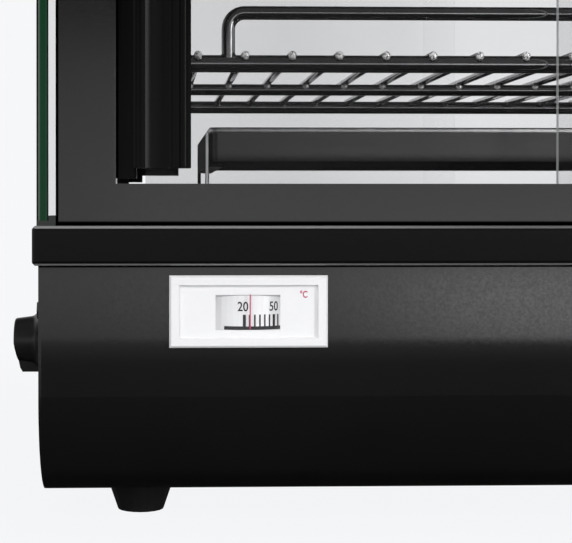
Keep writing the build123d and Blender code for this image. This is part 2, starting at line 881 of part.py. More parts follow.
def thermostat_bulb():
    """Sensing bulb clipped under the deck beside the element."""
    z = deck_top - element_drop
    y = floor_opening_y / 2 + bulb_edge_gap
    bulb = facet_rod((-bulb_length / 2, y, z), (bulb_length / 2, y, z), bulb_radius, bulb_sides)
    clips = []
    for x in (-bulb_length / 4, bulb_length / 4):
        side = bulb_radius + bulb_clip_sheet
        x0 = x - bulb_clip_width / 2
        x1 = x + bulb_clip_width / 2
        clip = block(x0, x1, y - side, y + side, z - side, z)
        clip += block(x0, x1, y + bulb_radius, y + side, z, deck_top - ledge_sheet)
        clips.append(clip - facet_rod((x0, y, z), (x1, y, z), bulb_radius, bulb_sides))
    return [bulb, *clips]


def switch_bezel():
    """Rocker switch case and its raised rim on the left cheek."""
    z = base_top - knob_drop
    wall = -housing_half_x
    half_y = switch_width / 2
    half_z = switch_height / 2
    rim = block(wall - switch_proud, wall, switch_y - half_y, switch_y + half_y, z - half_z, z + half_z)
    rim = chamfer(rim.faces().sort_by(Axis.X)[0].edges(), switch_edge)
    case_y = half_y - switch_lap
    case_z = half_z - switch_lap
    rim += block(wall, wall + switch_case_depth, switch_y - case_y, switch_y + case_y,
                 z - case_z, z + case_z)
    in_y = half_y - switch_border
    in_z = half_z - switch_border
    deep = wall + switch_case_depth - switch_floor
    rim -= block(wall - switch_proud - 1, deep, switch_y - in_y, switch_y + in_y, z - in_z, z + in_z)
    pin_x = wall + rocker_pin_depth
    bore = (switch_pin_radius + drum_pin_clearance) / flat_reach(1, screw_sides)
    rim -= facet_rod((pin_x, switch_y - half_y, z), (pin_x, switch_y + half_y, z), bore, screw_sides)
    return rim


def rocker():
    """Rocker with its pivot, resting with the upper half pressed in."""
    z = base_top - knob_drop
    wall = -housing_half_x
    half_y = switch_width / 2 - switch_border - rocker_gap
    half_z = switch_height / 2 - switch_border - rocker_end_room
    pin_x = wall + rocker_pin_depth
    out = switch_proud + rocker_rise + rocker_pin_depth
    root_z = half_z * rocker_root
    section = Polyline((-out, -half_z), (-out + rocker_dip, 0), (-out, half_z), (0, root_z),
                       (rocker_heel, 0), (0, -root_z), close=True)
    face = make_face(Plane.XZ * section)
    body = Pos(0, half_y, 0) * extrude(face, 2 * half_y, dir=(0, -1, 0))
    reach = switch_width / 2 - switch_lap
    body += rod((0, -reach, 0), (0, reach, 0), switch_pin_radius)
    tilted = Rot(0, rocker_throw, 0) * body
    return Pos(pin_x, switch_y, z) * tilted


def screw_hole(side, y, level):
    """What a cheek screw takes out of its cheek."""
    outer = side * (housing_half_x + 1)
    inner = side * (housing_half_x - 2 * sheet)
    return facet_rod((outer, y, level), (inner, y, level), screw_shank_radius, screw_sides)


def cheek_with_holes(side):
    """Base cheek; the left one takes the thermostat neck and the switch."""
    plate = housing_cheek(foot_height, base_top, base_bend_radius, True, side)
    z = base_top - knob_drop
    if side < 0:
        wall = -housing_half_x
        plate -= rod((wall - 1, knob_y, z), (wall + 2 * sheet, knob_y, z), thermostat_neck)
        case_y = switch_width / 2 - switch_lap
        case_z = switch_height / 2 - switch_lap
        plate -= block(wall - 1, wall + 2 * sheet, switch_y - case_y, switch_y + case_y,
                       z - case_z, z + case_z)
    for y, level in cheek_screw_spots(foot_height, base_top, True):
        plate -= screw_hole(side, y, level)
    return plate


def cheek_screw_spots(low, high, bends_low):
    """Places of the four screws in a cheek."""
    near = high - screw_inset if bends_low else low + screw_inset
    far = low + screw_inset if bends_low else high - screw_inset
    wide = housing_half_y - screw_inset
    narrow = housing_half_y - base_bend_radius - screw_inset / 2
    return [(-wide, near), (wide, near), (-narrow, far), (narrow, far)]


def canopy_cheek(side):
    """Canopy end plate with its screw holes."""
    plate = housing_cheek(canopy_ledge_top, body_top, canopy_bend_radius, False, side)
    for y, level in cheek_screw_spots(canopy_ledge_top, body_top, False):
        plate -= screw_hole(side, y, level)
    return plate


def cheek_screws():
    """Pan-head screws of all four cheeks."""
    screws = []
    base = cheek_screw_spots(foot_height, base_top, True)
    canopy = cheek_screw_spots(canopy_ledge_top, body_top, False)
    for side in (-1, 1):
        for y, level in base + canopy:
            wall = side * housing_half_x
            top = wall + side * screw_head_height
            tip = wall - side * screw_reach
            head = facet_rod((wall, y, level), (top, y, level), screw_head_radius, screw_sides)
            shank = facet_rod((tip, y, level), (top, y, level), screw_shank_radius, screw_sides)
            screws.append(head + shank)
    return screws


def ceiling_plate():
    """Bright plate that closes the canopy over the shelves."""
    half_x = floor_opening_x / 2 + floor_lap
    half_y = floor_opening_y / 2 + floor_lap
    return block(-half_x, half_x, -half_y, half_y, canopy_bottom - sheet, canopy_bottom)


def lamp_parts():
    """Lamp holder under the ceiling and the tubular lamp in it."""
    z = canopy_bottom - sheet - lamp_drop
    socket = -lamp_length / 2
    start = socket - holder_length
    holder = facet_rod((start, 0, z), (socket, 0, z), holder_radius, holder_sides)
    foot_half = holder_radius * holder_foot
    holder += block(start + holder_foot_inset, socket - holder_foot_inset, -foot_half, foot_half, z,
                    canopy_bottom - sheet)
    deep = socket - holder_socket
    holder -= facet_rod((deep, 0, z), (socket, 0, z), lamp_cap_radius + holder_clearance, holder_sides)
    neck = socket + lamp_neck
    cap = facet_rod((deep, 0, z), (neck, 0, z), lamp_cap_radius, holder_sides)
    glass = facet_rod((neck, 0, z), (socket + lamp_length, 0, z), lamp_radius, holder_sides)
    glass = chamfer(glass.faces().sort_by(Axis.X)[-1].edges(), lamp_radius / 3)
    return holder, cap + glass


def cord_gland():
    """Moulded gland through the rear panel with its clamped bore."""
    z = base_top - gland_drop
    panel = housing_half_y
    neck = gland_radius - gland_neck
    body = facet_rod((gland_x, panel - gland_depth, z), (gland_x, panel, z), neck, gland_sides)
    collar = facet_rod((gland_x, panel, z), (gland_x, panel + gland_reach, z), gland_radius, gland_sides)
    body += chamfer(collar.faces().sort_by(Axis.Y)[-1].edges(), gland_neck)
    inner_end = panel - gland_depth - 1
    return body - rod((gland_x, inner_end, z), (gland_x, panel + gland_reach + 1, z), gland_bore)


def gland_nut():
    """Hexagon nut of the gland inside the rear panel."""
    z = base_top - gland_drop
    inner = housing_half_y - sheet
    place = Plane(origin=(gland_x, inner, z), z_dir=(0, -1, 0))
    nut = extrude(place * RegularPolygon(gland_nut_width / 2, 6), gland_nut_height)
    far = inner - gland_nut_height - 1
    neck = gland_radius - gland_neck
    return nut - facet_rod((gland_x, inner + 1, z), (gland_x, far, z), neck, gland_sides)


def terminal_block():
    """Three-way mains block on the bottom plate."""
    low = foot_height + 2 * sheet
    high = low + terminal_block_height
    x0 = gland_x - terminal_block_offset
    y0 = terminal_block_y
    y1 = y0 + terminal_block_depth
    body = block(x0, x0 + terminal_block_length, y0, y1, low, low + terminal_block_height / 2)
    third = terminal_block_length / 3
    for index in range(3):
        left = x0 + index * third + terminal_gap
        right = x0 + (index + 1) * third - terminal_gap
        post = block(left, right, y0 + 2 * terminal_gap, y1 - 2 * terminal_gap, low, high)
        middle = (left + right) / 2
        centre = (y0 + y1) / 2
        post -= facet_rod((middle, centre, high - terminal_screw_depth), (middle, centre, high),
                          terminal_screw_radius, screw_sides)
        body += post
    return body


def make_base():
    """Everything in and under the base."""
    save("base_wrap", base_shell())
    save("base_left_cheek", cheek_with_holes(-1))
    save("base_right_cheek", cheek_with_holes(1))
    save("base_bottom_plate", bottom_plate())
    save("rubber_feet", *at_feet(foot()))
    save("foot_screws", *at_feet(foot_screw()))
    save("cheek_screws", *cheek_screws())
    save("deck", deck())
    save("floor_plate", floor_plate())
    save("heating_element", heating_element())
    save("element_terminals", *element_terminals())
    save("element_brackets", *element_brackets())
    save("terminal_block", terminal_block())
    save("cord_gland", cord_gland())
    save("gland_nut", gland_nut())


def make_controls():
    """Gauge, thermostat and switch."""
    bezel, face, lens, line, case, drum = gauge_parts()
    save("gauge_bezel", bezel)
    save("gauge_face", face)
    save("gauge_lens", lens)
    save("gauge_index_line", line)
    save("gauge_case", case)
    save("gauge_drum", drum)
    save("thermostat_body", thermostat())
    save("thermostat_bulb", *thermostat_bulb())
    save("thermostat_knob", knob())
    save("knob_shaft", knob_shaft())
    save("switch_case", switch_bezel())
    save("switch_rocker", rocker())


def make_glass_house():
    """Frames, end glasses, tracks, doors, racks, shelves and pan."""
    sides = (("front", -1, front_rail_height), ("rear", 1, rear_rail_height))
    for name, side, rail_height in sides:
        save(f"{name}_frame", window_frame(rail_height, side))
        lift = track_lift(rail_height)
        save(f"{name}_bottom_track", track(side, deck_top, lift + track_height, lift + track_floor, False))
        low = canopy_bottom - top_track_height
        save(f"{name}_top_track", track(side, low, top_track_height, track_floor, True))
        for hand, way in (("left", -1), ("right", 1)):
            save(f"{name}_{hand}_pane", door_pane(side, way, rail_height))
            save(f"{name}_{hand}_grip", door_stile(side, way, rail_height))
    save("door_buffers", *door_buffers())
    save("left_end_glass", end_glass(-1))
    save("right_end_glass", end_glass(1))
    save("glass_spacers", *glass_spacers())
    save("left_shelf_rack", side_rack(-1))
    save("right_shelf_rack", side_rack(1))
    for index in range(shelf_count):
        save(f"shelf_{index + 1}", *shelf(index))
    save("water_pan", water_pan())
    save("pan_stand", *pan_stand())


def make_canopy():
    """Upper ledge, housing, ceiling and lamp."""
    save("canopy_ledge", canopy_ledge())
    save("canopy_wrap", housing_wrap(canopy_ledge_top, body_top, canopy_bend_radius, False))
    save("canopy_left_cheek", canopy_cheek(-1))
    save("canopy_right_cheek", canopy_cheek(1))
    save("ceiling_plate", ceiling_plate())
    holder, lamp = lamp_parts()
    save("lamp_holder", holder)
    save("lamp", lamp)


make_base()
make_controls()
make_glass_house()
make_canopy()
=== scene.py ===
import json
import math

import bmesh
import bpy
from mathutils import Matrix, Vector

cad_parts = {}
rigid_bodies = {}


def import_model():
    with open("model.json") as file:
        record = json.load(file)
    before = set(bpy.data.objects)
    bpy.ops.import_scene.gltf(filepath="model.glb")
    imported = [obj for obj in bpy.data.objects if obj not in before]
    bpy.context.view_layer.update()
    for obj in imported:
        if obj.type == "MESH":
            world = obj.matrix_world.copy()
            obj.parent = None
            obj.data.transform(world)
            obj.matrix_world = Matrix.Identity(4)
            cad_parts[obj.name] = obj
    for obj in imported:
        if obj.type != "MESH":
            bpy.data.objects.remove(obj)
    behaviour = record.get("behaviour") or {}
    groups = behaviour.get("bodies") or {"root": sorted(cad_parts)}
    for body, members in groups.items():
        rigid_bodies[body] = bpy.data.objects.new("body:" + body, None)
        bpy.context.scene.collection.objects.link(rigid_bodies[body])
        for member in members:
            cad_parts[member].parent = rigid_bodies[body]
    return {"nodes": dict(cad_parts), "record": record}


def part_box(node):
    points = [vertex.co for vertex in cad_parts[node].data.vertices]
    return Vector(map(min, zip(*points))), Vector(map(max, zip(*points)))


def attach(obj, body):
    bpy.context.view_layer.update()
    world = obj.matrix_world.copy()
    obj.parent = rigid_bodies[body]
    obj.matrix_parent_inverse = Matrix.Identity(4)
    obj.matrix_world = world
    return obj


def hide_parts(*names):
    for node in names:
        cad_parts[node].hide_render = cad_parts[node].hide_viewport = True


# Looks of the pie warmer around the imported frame. Metres. Z is up, the table
# is z = 0 and the operator stands on the -Y side.

# Camera, fitted to points measured in the photograph
lens = 90.26
sensor = 36.0
camera_place = (-0.17556, -0.7619, 0.13832)
camera_tilt = 89.756
camera_turn = -1.77
camera_shift = (0.1534, -0.1023)
camera_near = 0.05

# Colours, linear
page = (0.922, 0.930, 0.947)
ink = (0.012, 0.012, 0.013)
red_ink = (0.46, 0.04, 0.12)
satin_dark = (0.005, 0.005, 0.005)
satin_light = (0.007, 0.007, 0.007)
pan_dark = (0.044, 0.044, 0.044)
pan_light = (0.050, 0.050, 0.050)
clear_tint = (0.02, 0.02, 0.021)

# Cabinet: its middle in x, painted shade along the joints as pairs of soft edges, and frame limits
centre_shift = 0.0072
base_gap_shade = ((0.1129, 0.1133), (0.1140, 0.1142))
frame_seam_shade = ((0.1304, 0.1305), (0.1318, 0.1328))
frame_low = 0.1305
frame_high = 0.5160
frame_side_shade = (0.2222, 0.2226)
bend_start = (0.071, 0.085)
bend_end = (0.030, 0.045)
bend_tip = 0.10
ledge_tip = 0.09
end_glass_edge = (0.2265, 0.2315)
# Front legs of the pan stand, and the width of the white painted highlight on their cut edges
stand_front = -0.095
stand_edge_highlight = 0.0012

# Painted highlights on the ledge lips, a darker lower edge and painted shade under the pan, and the glass
# veil, as rows of start, end and the value at each
lip_highlight = (-0.50, -0.75, 0, 0.22)
top_highlight = (0.42, 0.62, 0, 0.22)
top_highlight_in_x = ((-0.20, 1.0), (-0.12, 0.9), (-0.02, 0.55), (0.10, 0.35))
# Pan: darker towards its lower edge, and painted shade on its underside
pan_lower_darkening = (0.1640, 0.1588, 0, 0.85)
pan_under_shade = (-0.3, -0.6, 0, 1)
veil_in_x = ((-0.165, 0.184), (-0.121, 0.196), (-0.078, 0.161), (-0.035, 0.096))

# Shelves
shelf_levels = (0.2007, 0.3087, 0.4167)
shelf_half = 0.2146
shelf_rail_y = 0.137
rail_radius = 0.0038
rail_end = 0.0008
rail_dome = 0.0006
middle_radius = 0.0030
middle_sink = 0.0013
wire_radius = 0.00185
wire_rise = 0.0034
wire_pitch = 0.02045
wire_count = 21
wire_reach = 0.1426
wire_dome = 0.7
guard_leg = 0.1503
guard_rise = 0.0222
guard_radius = 0.0030
guard_bend = 0.0070
guard_weld = (0.0034, 0.0030, 0.0012)
wire_weld = (0.0021, 0.0016, 0.0016)
weld_out = 0.72
weld_up = 0.52
weld_margin = 0.004
# Painted glints: pale wire tips, and pale spots at the welds on the middle rail
wire_tip_glint = (-0.1411, -0.1413)
middle_weld_glint = (-0.00305, -0.0032)
middle_glint_front = -0.0060

# Rim of the water pan: corner radius, half sizes of its section, and its place
rim_corner = 0.0035
rim_half = Vector((0.0004, 0.0004, 0.0011))
rim_inset = 0.0002
rim_drop = 0.0003
rim_sides = 16

# Side knob: reach from its back and radius, then the slanted bar below the axis
knob_sides = 48
knob_outline = ((0, 0.0149), (0.0040, 0.0147), (0.0047, 0.0134), (0.0055, 0.0120), (0.0066, 0.0110),
                (0.0080, 0.0106), (0.0145, 0.0098), (0.0151, 0.0095), (0.0154, 0.0089))
knob_setback = 0.0007
slant_start = 0.0012
slant_rate = 0.2034
bar_end = ((0.0031, 0.0130), (0.0042, 0.0149))
bar_half = 0.0035
bar_taper = 0.094
bar_bevel = 0.0004

# Gauge drum: degrees of turn for one degree Celsius, and where 20 stands
drum_radius = 0.020
turn_per_degree = 1.256
twenty_at = -4.65
scale_end = 120
numbers = (20, 50, 80, 110)
ink_lift = 0.00012
digit_height = 0.0040
digit_low = 0.0947
digit_squeeze = 0.84
twenty_nudge = 0.0006
tick_low = 0.0884
tick_high = 0.0933
tick_step = 5
wide_tick = 1.75
fine_tick = 1.0
band_low = 0.0869
band_high = 0.0884

# Gauge face: window from the middle of the face, a grey strip of painted shade under its top edge, cover,
# line and unit
window_left = 0.01375
window_right = 0.01325
window_top = 0.0069
window_bottom = 0.0078
# Grey strip of painted shade under the window's top edge
shade_strip_steps = 16
shade_strip_drop = 0.0003
shade_strip_curve = 0.0007
shade_strip_root = 0.0001
shade_strip_inset = 0.00005
hair_width = 0.00048
block_bevel = 0.00008
plate_gap = 0.00015
plate_lap = 0.00019
unit_height = 0.0031
unit_squeeze = 0.74
unit_weight = 0.022
unit_place = (-0.0073, -0.00008, -0.0052)

# Soft lights: place, target, width, height and brightness
lights = {
    "key_strip": ((0.90, -1.15, 0.45), (0, -0.1, 0.2), 0.34, 1.3, 9.0),
    "front_fill": ((-0.6, -1.6, 0.9), (0, 0, 0.2), 1.2, 0.8, 5.7),
    "top_light": ((0.1, -0.35, 1.7), (0, 0, 0.2), 1.1, 0.9, 3.2),
    "rear_light": ((0.0, 1.7, 0.9), (0, 0, 0.3), 1.6, 1.0, 1.4),
}
reflected_light = "key_strip"
floor_half = 4.0
page_fade = (0.33, 0.75, 0.965, 1.0)

# Studio that the gloss reflects, by direction: start, end and brightness at each
band_edges = ((-0.118, -0.062), (0.085, 0.15))
band_step = (-0.05, 0.0, 1.0, 1.25)
band_fade = (-0.02, 0.10, 1.0, 0.72)
right_glow = (0.10, 0.26, 0, 2.25)
right_glow_top = (-0.035, -0.050, 0, 1)
table_glow = (-0.10, -0.40, 0.24, 0.0)
table_edge = (-0.10, -0.05, 1, 0)
haze = (0.05, 0.20, 0.022, 0.14)
rear_upper = (0.30, 0.60, 0.70, 0.05)
rear_lower = (-0.30, -0.10, 0.01, 1)
rear_share = (0.15, 0.45, 0, 1)

for leftover in list(bpy.data.objects):
    bpy.data.objects.remove(leftover)

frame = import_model()
bpy.context.view_layer.update()
nodes = frame["nodes"]


def link(mesh, name, body, material):
    """A mesh as a piece that rides on a body."""
    piece = bpy.data.objects.new(name, mesh)
    bpy.context.scene.collection.objects.link(piece)
    piece.data.materials.append(material)
    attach(piece, body)
    return piece


def from_bmesh(form, name):
    """Finished mesh with soft shading on its blunt edges."""
    mesh = bpy.data.meshes.new(name)
    bmesh.ops.recalc_face_normals(form, faces=form.faces)
    form.to_mesh(mesh)
    form.free()
    for face in mesh.polygons:
        face.use_smooth = True
    mesh.set_sharp_from_angle(angle=math.radians(40))
    return mesh


def skin(form, rings, closed=False):
    """Faces between rings that follow each other."""
    pairs = list(zip(rings, rings[1:]))
    if closed:
        pairs.append((rings[-1], rings[0]))
    for low, high in pairs:
        count = len(low)
        for step in range(count):
            after = (step + 1) % count
            form.faces.new((low[step], low[after], high[after], high[step]))


def dome_rings(form, end, outward, turn, radius, dome, sides):
    """Shrinking rings that round off the end of a bar, from the bar outwards."""
    rings = []
    steps = 4 if dome else 0
    for step in range(1, steps + 1):
        angle = math.pi / 2 * step / (steps + 0.4)
        centre = end + outward * dome * math.sin(angle)
        rings.append(turned_ring(form, centre, turn, radius * math.cos(angle), sides))
    return rings


def sweep_tube(form, points, radius, sides=16, dome=0.0):
    """Round bar along points, with domed or flat ends."""
    points = [Vector(p) for p in points]
    ways = []
    for index in range(len(points)):
        before = points[max(index - 1, 0)]
        after = points[min(index + 1, len(points) - 1)]
        ways.append((after - before).normalized())
    turn = Vector((0, 0, 1)).rotation_difference(ways[0])
    rings = dome_rings(form, points[0], -ways[0], turn, radius, dome, sides)
    rings.reverse()
    for index, point in enumerate(points):
        if index:
            turn = ways[index - 1].rotation_difference(ways[index]) @ turn
        rings.append(turned_ring(form, point, turn, radius, sides))
    rings += dome_rings(form, points[-1], ways[-1], turn, radius, dome, sides)
    skin(form, rings)
    form.faces.new(list(reversed(rings[0])))
    form.faces.new(rings[-1])


def turned_ring(form, centre, turn, radius, sides):
    """One ring of points in the plane that a turn gives."""
    points = []
    for step in range(sides):
        angle = 2 * math.pi * step / sides
        spoke = turn @ Vector((math.cos(angle), math.sin(angle), 0))
        points.append(form.verts.new(centre + spoke * radius))
    return points


def bead(form, centre, size):
    """Small rounded weld bead."""
    place = Matrix.Translation(centre) @ Matrix.Diagonal((*size, 1))
    bmesh.ops.create_uvsphere(form, u_segments=14, v_segments=8, radius=1.0, matrix=place)


def arc(centre, start, end, radius, across, up, steps=8):
    """Points of an arc in the plane of two directions, angles in degrees."""
    points = []
    for step in range(steps + 1):
        angle = math.radians(start + (end - start) * step / steps)
        points.append(Vector(centre) + Vector(across) * radius * math.cos(angle)
                      + Vector(up) * radius * math.sin(angle))
    return points


def box_piece(name, low, high, material):
    """Plain block between two corners, riding on the cabinet."""
    form = bmesh.new()
    place = Matrix.Translation((low + high) / 2) @ Matrix.Diagonal((*(high - low), 1))
    bmesh.ops.create_cube(form, size=1.0, matrix=place)
    bmesh.ops.bevel(form, geom=form.edges, offset=block_bevel, segments=1, affect="EDGES")
    return link(from_bmesh(form, name), name, "cabinet", material)


def new_material(name):
    """Empty node material and its main shader."""
    material = bpy.data.materials.new(name)
    material.use_nodes = True
    tree = material.node_tree
    return material, tree, tree.nodes["Principled BSDF"]


def noise(tree, scale, detail=2.0, stretch=(1, 1, 1)):
    """Noise in the object's own coordinates."""
    place = tree.nodes.new("ShaderNodeTexCoord")
    mapping = tree.nodes.new("ShaderNodeMapping")
    mapping.inputs["Scale"].default_value = stretch
    texture = tree.nodes.new("ShaderNodeTexNoise")
    texture.inputs["Scale"].default_value = scale
    texture.inputs["Detail"].default_value = detail
    tree.links.new(place.outputs["Object"], mapping.inputs["Vector"])
    tree.links.new(mapping.outputs["Vector"], texture.inputs["Vector"])
    return texture.outputs["Fac"]


def spread(tree, value, low, high, start=0.3, end=0.7):
    """A value stretched evenly to a range."""
    node = tree.nodes.new("ShaderNodeMapRange")
    node.inputs["From Min"].default_value = start
    node.inputs["From Max"].default_value = end
    node.inputs["To Min"].default_value = low
    node.inputs["To Max"].default_value = high
    tree.links.new(value, node.inputs["Value"])
    return node.outputs["Result"]


def ranged(tree, value, start, end, low, high):
    """A value carried smoothly from one range to another."""
    result = spread(tree, value, low, high, start, end)
    result.node.interpolation_type = "SMOOTHSTEP"
    return result


def combine(tree, operation, first, second=0.0):
    """Sum, product or test of two values, or the size of one."""
    node = tree.nodes.new("ShaderNodeMath")
    node.operation = operation
    for socket, value in zip(node.inputs, (first, second)):
        if isinstance(value, (int, float)):
            socket.default_value = value
        else:
            tree.links.new(value, socket)
    return node.outputs[0]


def soft_band(tree, value, rise, fall):
    """1 between two soft edges of a value, 0 outside."""
    return combine(tree, "MULTIPLY", ranged(tree, value, *rise, 0, 1), ranged(tree, value, *fall, 1, 0))


def vector_math(tree, operation, first, second=None):
    """Two directions added, or one made a unit long."""
    node = tree.nodes.new("ShaderNodeVectorMath")
    node.operation = operation
    tree.links.new(first, node.inputs[0])
    if second:
        tree.links.new(second, node.inputs[1])
    return node.outputs["Vector"]


def fade(tree, value, colour):
    """A colour or direction times a value."""
    node = tree.nodes.new("ShaderNodeVectorMath")
    node.operation = "SCALE"
    tree.links.new(colour, node.inputs[0])
    tree.links.new(value, node.inputs["Scale"])
    return node.outputs["Vector"]


def blend_colour(tree, value, first, second):
    """Colour between two, by a value or socket."""
    node = tree.nodes.new("ShaderNodeMix")
    node.data_type = "RGBA"
    node.inputs[6].default_value = (*first, 1)
    node.inputs[7].default_value = (*second, 1)
    tree.links.new(value, node.inputs[0])
    return node.outputs[2]


def add_bump(tree, shader, height, strength, distance):
    """Surface relief from a height."""
    node = tree.nodes.new("ShaderNodeBump")
    node.inputs["Strength"].default_value = strength
    node.inputs["Distance"].default_value = distance
    tree.links.new(height, node.inputs["Height"])
    tree.links.new(node.outputs["Normal"], shader.inputs["Normal"])


def own_place(tree):
    """X, Y and Z sockets of the surface, in the object's own coordinates."""
    place = tree.nodes.new("ShaderNodeTexCoord")
    split = tree.nodes.new("ShaderNodeSeparateXYZ")
    tree.links.new(place.outputs["Object"], split.inputs["Vector"])
    return split.outputs


def from_middle(tree):
    """Distance in x from the middle of the cabinet, to either side."""
    return combine(tree, "ABSOLUTE", combine(tree, "SUBTRACT", own_place(tree)["X"], centre_shift))


def surface_normal(tree, kind="Normal"):
    """Socket of the surface's normal, and the sockets of its three parts."""
    geometry = tree.nodes.new("ShaderNodeNewGeometry")
    split = tree.nodes.new("ShaderNodeSeparateXYZ")
    tree.links.new(geometry.outputs[kind], split.inputs["Vector"])
    return geometry.outputs[kind], split.outputs


def facing(tree, axis, limit):
    """1 where the surface faces along an axis, either way, 0 elsewhere."""
    parts = surface_normal(tree, "True Normal")[1]
    return combine(tree, "GREATER_THAN", combine(tree, "ABSOLUTE", parts[axis]), limit)


def tipped(tree, normal, amount):
    """A normal tipped downwards by an amount."""
    down = tree.nodes.new("ShaderNodeCombineXYZ")
    down.inputs["Z"].default_value = -1
    total = vector_math(tree, "ADD", normal, fade(tree, amount, down.outputs["Vector"]))
    return vector_math(tree, "NORMALIZE", total)


def along_x(tree, value, ramp):
    """A value that changes with x, by pairs of place and factor."""
    x = own_place(tree)["X"]
    for (x0, low), (x1, high) in zip(ramp, ramp[1:]):
        value = combine(tree, "MULTIPLY", value, ranged(tree, x, x0, x1, 1.0, high / low))
    return value


def joint_lines(tree):
    """Painted shade: black lines where the base and the frame meet the ledge and the end glass."""
    z = own_place(tree)["Z"]
    ledge = combine(tree, "ADD", soft_band(tree, z, *base_gap_shade), soft_band(tree, z, *frame_seam_shade))
    between = combine(tree, "MULTIPLY", combine(tree, "GREATER_THAN", z, frame_low),
                      combine(tree, "LESS_THAN", z, frame_high))
    side = combine(tree, "MULTIPLY", ranged(tree, from_middle(tree), *frame_side_shade, 0, 1), between)
    return combine(tree, "MAXIMUM", ledge, side)


def pan_shade(tree):
    """Paint darker towards the lower edge of the pan, and painted shade on its underside."""
    lower = ranged(tree, own_place(tree)["Z"], *pan_lower_darkening)
    under = ranged(tree, surface_normal(tree)[1]["Z"], *pan_under_shade)
    return combine(tree, "MAXIMUM", lower, under)


def paint(name, colour, light, roughness, grain, relief, darkening_mask):
    """Sprayed paint with a slight orange-peel surface, painted black where a mask says: painted shade at the
    joints, and a darkening with painted shade on the pan.
    """
    material, tree, shader = new_material(name)
    kept = combine(tree, "SUBTRACT", 1.0, darkening_mask(tree))
    tint = blend_colour(tree, spread(tree, noise(tree, 9.0, 3.0), 0, 1), colour, light)
    tree.links.new(fade(tree, kept, tint), shader.inputs["Base Color"])
    tree.links.new(combine(tree, "MULTIPLY", kept, 0.5), shader.inputs["Specular IOR Level"])
    fine = noise(tree, grain, 2.0)
    tree.links.new(spread(tree, fine, roughness - 0.03, roughness + 0.03), shader.inputs["Roughness"])
    add_bump(tree, shader, fine, relief, 0.00012)
    return material


def satin_paint(name):
    """Satin black paint of the folded sheet, with painted shade along its joints."""
    return paint(name, satin_dark, satin_light, 0.12, 900.0, 0.05, joint_lines)


def base_paint():
    """Satin paint on the base, whose sheet begins to turn in above its bend."""
    material = satin_paint("base_black")
    tree = material.node_tree
    normal = tree.nodes["Principled BSDF"].inputs["Normal"]
    band = soft_band(tree, own_place(tree)["Z"], bend_end, bend_start)
    amount = combine(tree, "MULTIPLY", band, bend_tip)
    tree.links.new(tipped(tree, normal.links[0].from_socket, amount), normal)
    return material


def ledge_paint():
    """Gloss black whose flat skirts lean inwards a little, with pale painted highlights along both lips,
    stronger to the left on the top lip.
    """
    material, tree, shader = new_material("gloss_black")
    shader.inputs["Specular IOR Level"].default_value = 0.4
    normal, parts = surface_normal(tree)
    lip = ranged(tree, parts["Z"], *lip_highlight)
    top = along_x(tree, ranged(tree, parts["Z"], *top_highlight), top_highlight_in_x)
    highlight = combine(tree, "MAXIMUM", lip, top)
    tint = blend_colour(tree, highlight, (0.003, 0.003, 0.003), (0.9, 0.9, 0.9))
    tree.links.new(tint, shader.inputs["Base Color"])
    tree.links.new(spread(tree, noise(tree, 500.0, 2.0), 0.10, 0.14), shader.inputs["Roughness"])
    upright = combine(tree, "LESS_THAN", combine(tree, "ABSOLUTE", parts["Z"]), 0.02)
    lean = combine(tree, "MULTIPLY", upright, ledge_tip)
    tree.links.new(tipped(tree, normal, lean), shader.inputs["Normal"])
    return material


def extrusion(name, colour, roughness, stretch):
    """Black anodised extrusion with fine drawn lines along it."""
    material, tree, shader = new_material(name)
    lines = noise(tree, 260.0, 2.0, stretch)
    tree.links.new(blend_colour(tree, spread(tree, lines, 0, 1), colour, tuple(c * 2.0 for c in colour)),
                   shader.inputs["Base Color"])
    tree.links.new(spread(tree, lines, roughness - 0.06, roughness + 0.06), shader.inputs["Roughness"])
    shader.inputs["Specular IOR Level"].default_value = 0.06
    add_bump(tree, shader, lines, 0.25, 0.00008)
    return material


def metal(name, colour, roughness, grain, relief):
    """Bare or plated metal with slight unevenness."""
    material, tree, shader = new_material(name)
    shader.inputs["Metallic"].default_value = 1.0
    cloud = noise(tree, grain, 3.0)
    darker = tuple(c * 0.86 for c in colour)
    tint = blend_colour(tree, spread(tree, cloud, 0, 1), darker, colour)
    tree.links.new(tint, shader.inputs["Base Color"])
    tree.links.new(spread(tree, cloud, roughness * 0.7, roughness * 1.3), shader.inputs["Roughness"])
    add_bump(tree, shader, cloud, relief, 0.0002)
    return material


def wire_ends(material):
    """Painted glints on the chrome: pale speckled wire ends, and pale spots where the wires are welded to
    the middle rail.
    """
    tree = material.node_tree
    shader = tree.nodes["Principled BSDF"]
    chrome = shader.inputs["Base Color"].links[0].from_socket
    y = own_place(tree)["Y"]
    speckle = spread(tree, noise(tree, 1400.0, 1.0), 0.25, 1.0, 0.42, 0.52)
    tip_glint = combine(tree, "MULTIPLY", ranged(tree, y, *wire_tip_glint, 0, 1), speckle)
    weld_glint = combine(tree, "MULTIPLY", ranged(tree, y, *middle_weld_glint, 0, 0.8),
                   combine(tree, "GREATER_THAN", y, middle_glint_front))
    glint = combine(tree, "MAXIMUM", tip_glint, weld_glint)
    tint = blend_colour(tree, glint, (0, 0, 0), (0.90, 0.90, 0.90))
    tree.links.new(chrome, tint.node.inputs[6])
    tree.links.new(tint, shader.inputs["Base Color"])
    tree.links.new(combine(tree, "SUBTRACT", 1.0, glint), shader.inputs["Metallic"])
    return material


def plain(name, colour, roughness, specular=0.5, grain=180.0, relief=0.08, lift=1.12):
    """Moulded plastic, rubber or ceramic with a fine surface."""
    material, tree, shader = new_material(name)
    shader.inputs["Specular IOR Level"].default_value = specular
    fine = noise(tree, grain, 2.0)
    lighter = tuple(min(1.0, c * lift + 0.002) for c in colour)
    tint = blend_colour(tree, spread(tree, fine, 0, 1), colour, lighter)
    tree.links.new(tint, shader.inputs["Base Color"])
    tree.links.new(spread(tree, fine, roughness - 0.04, roughness + 0.04), shader.inputs["Roughness"])
    add_bump(tree, shader, fine, relief, 0.0001)
    return material


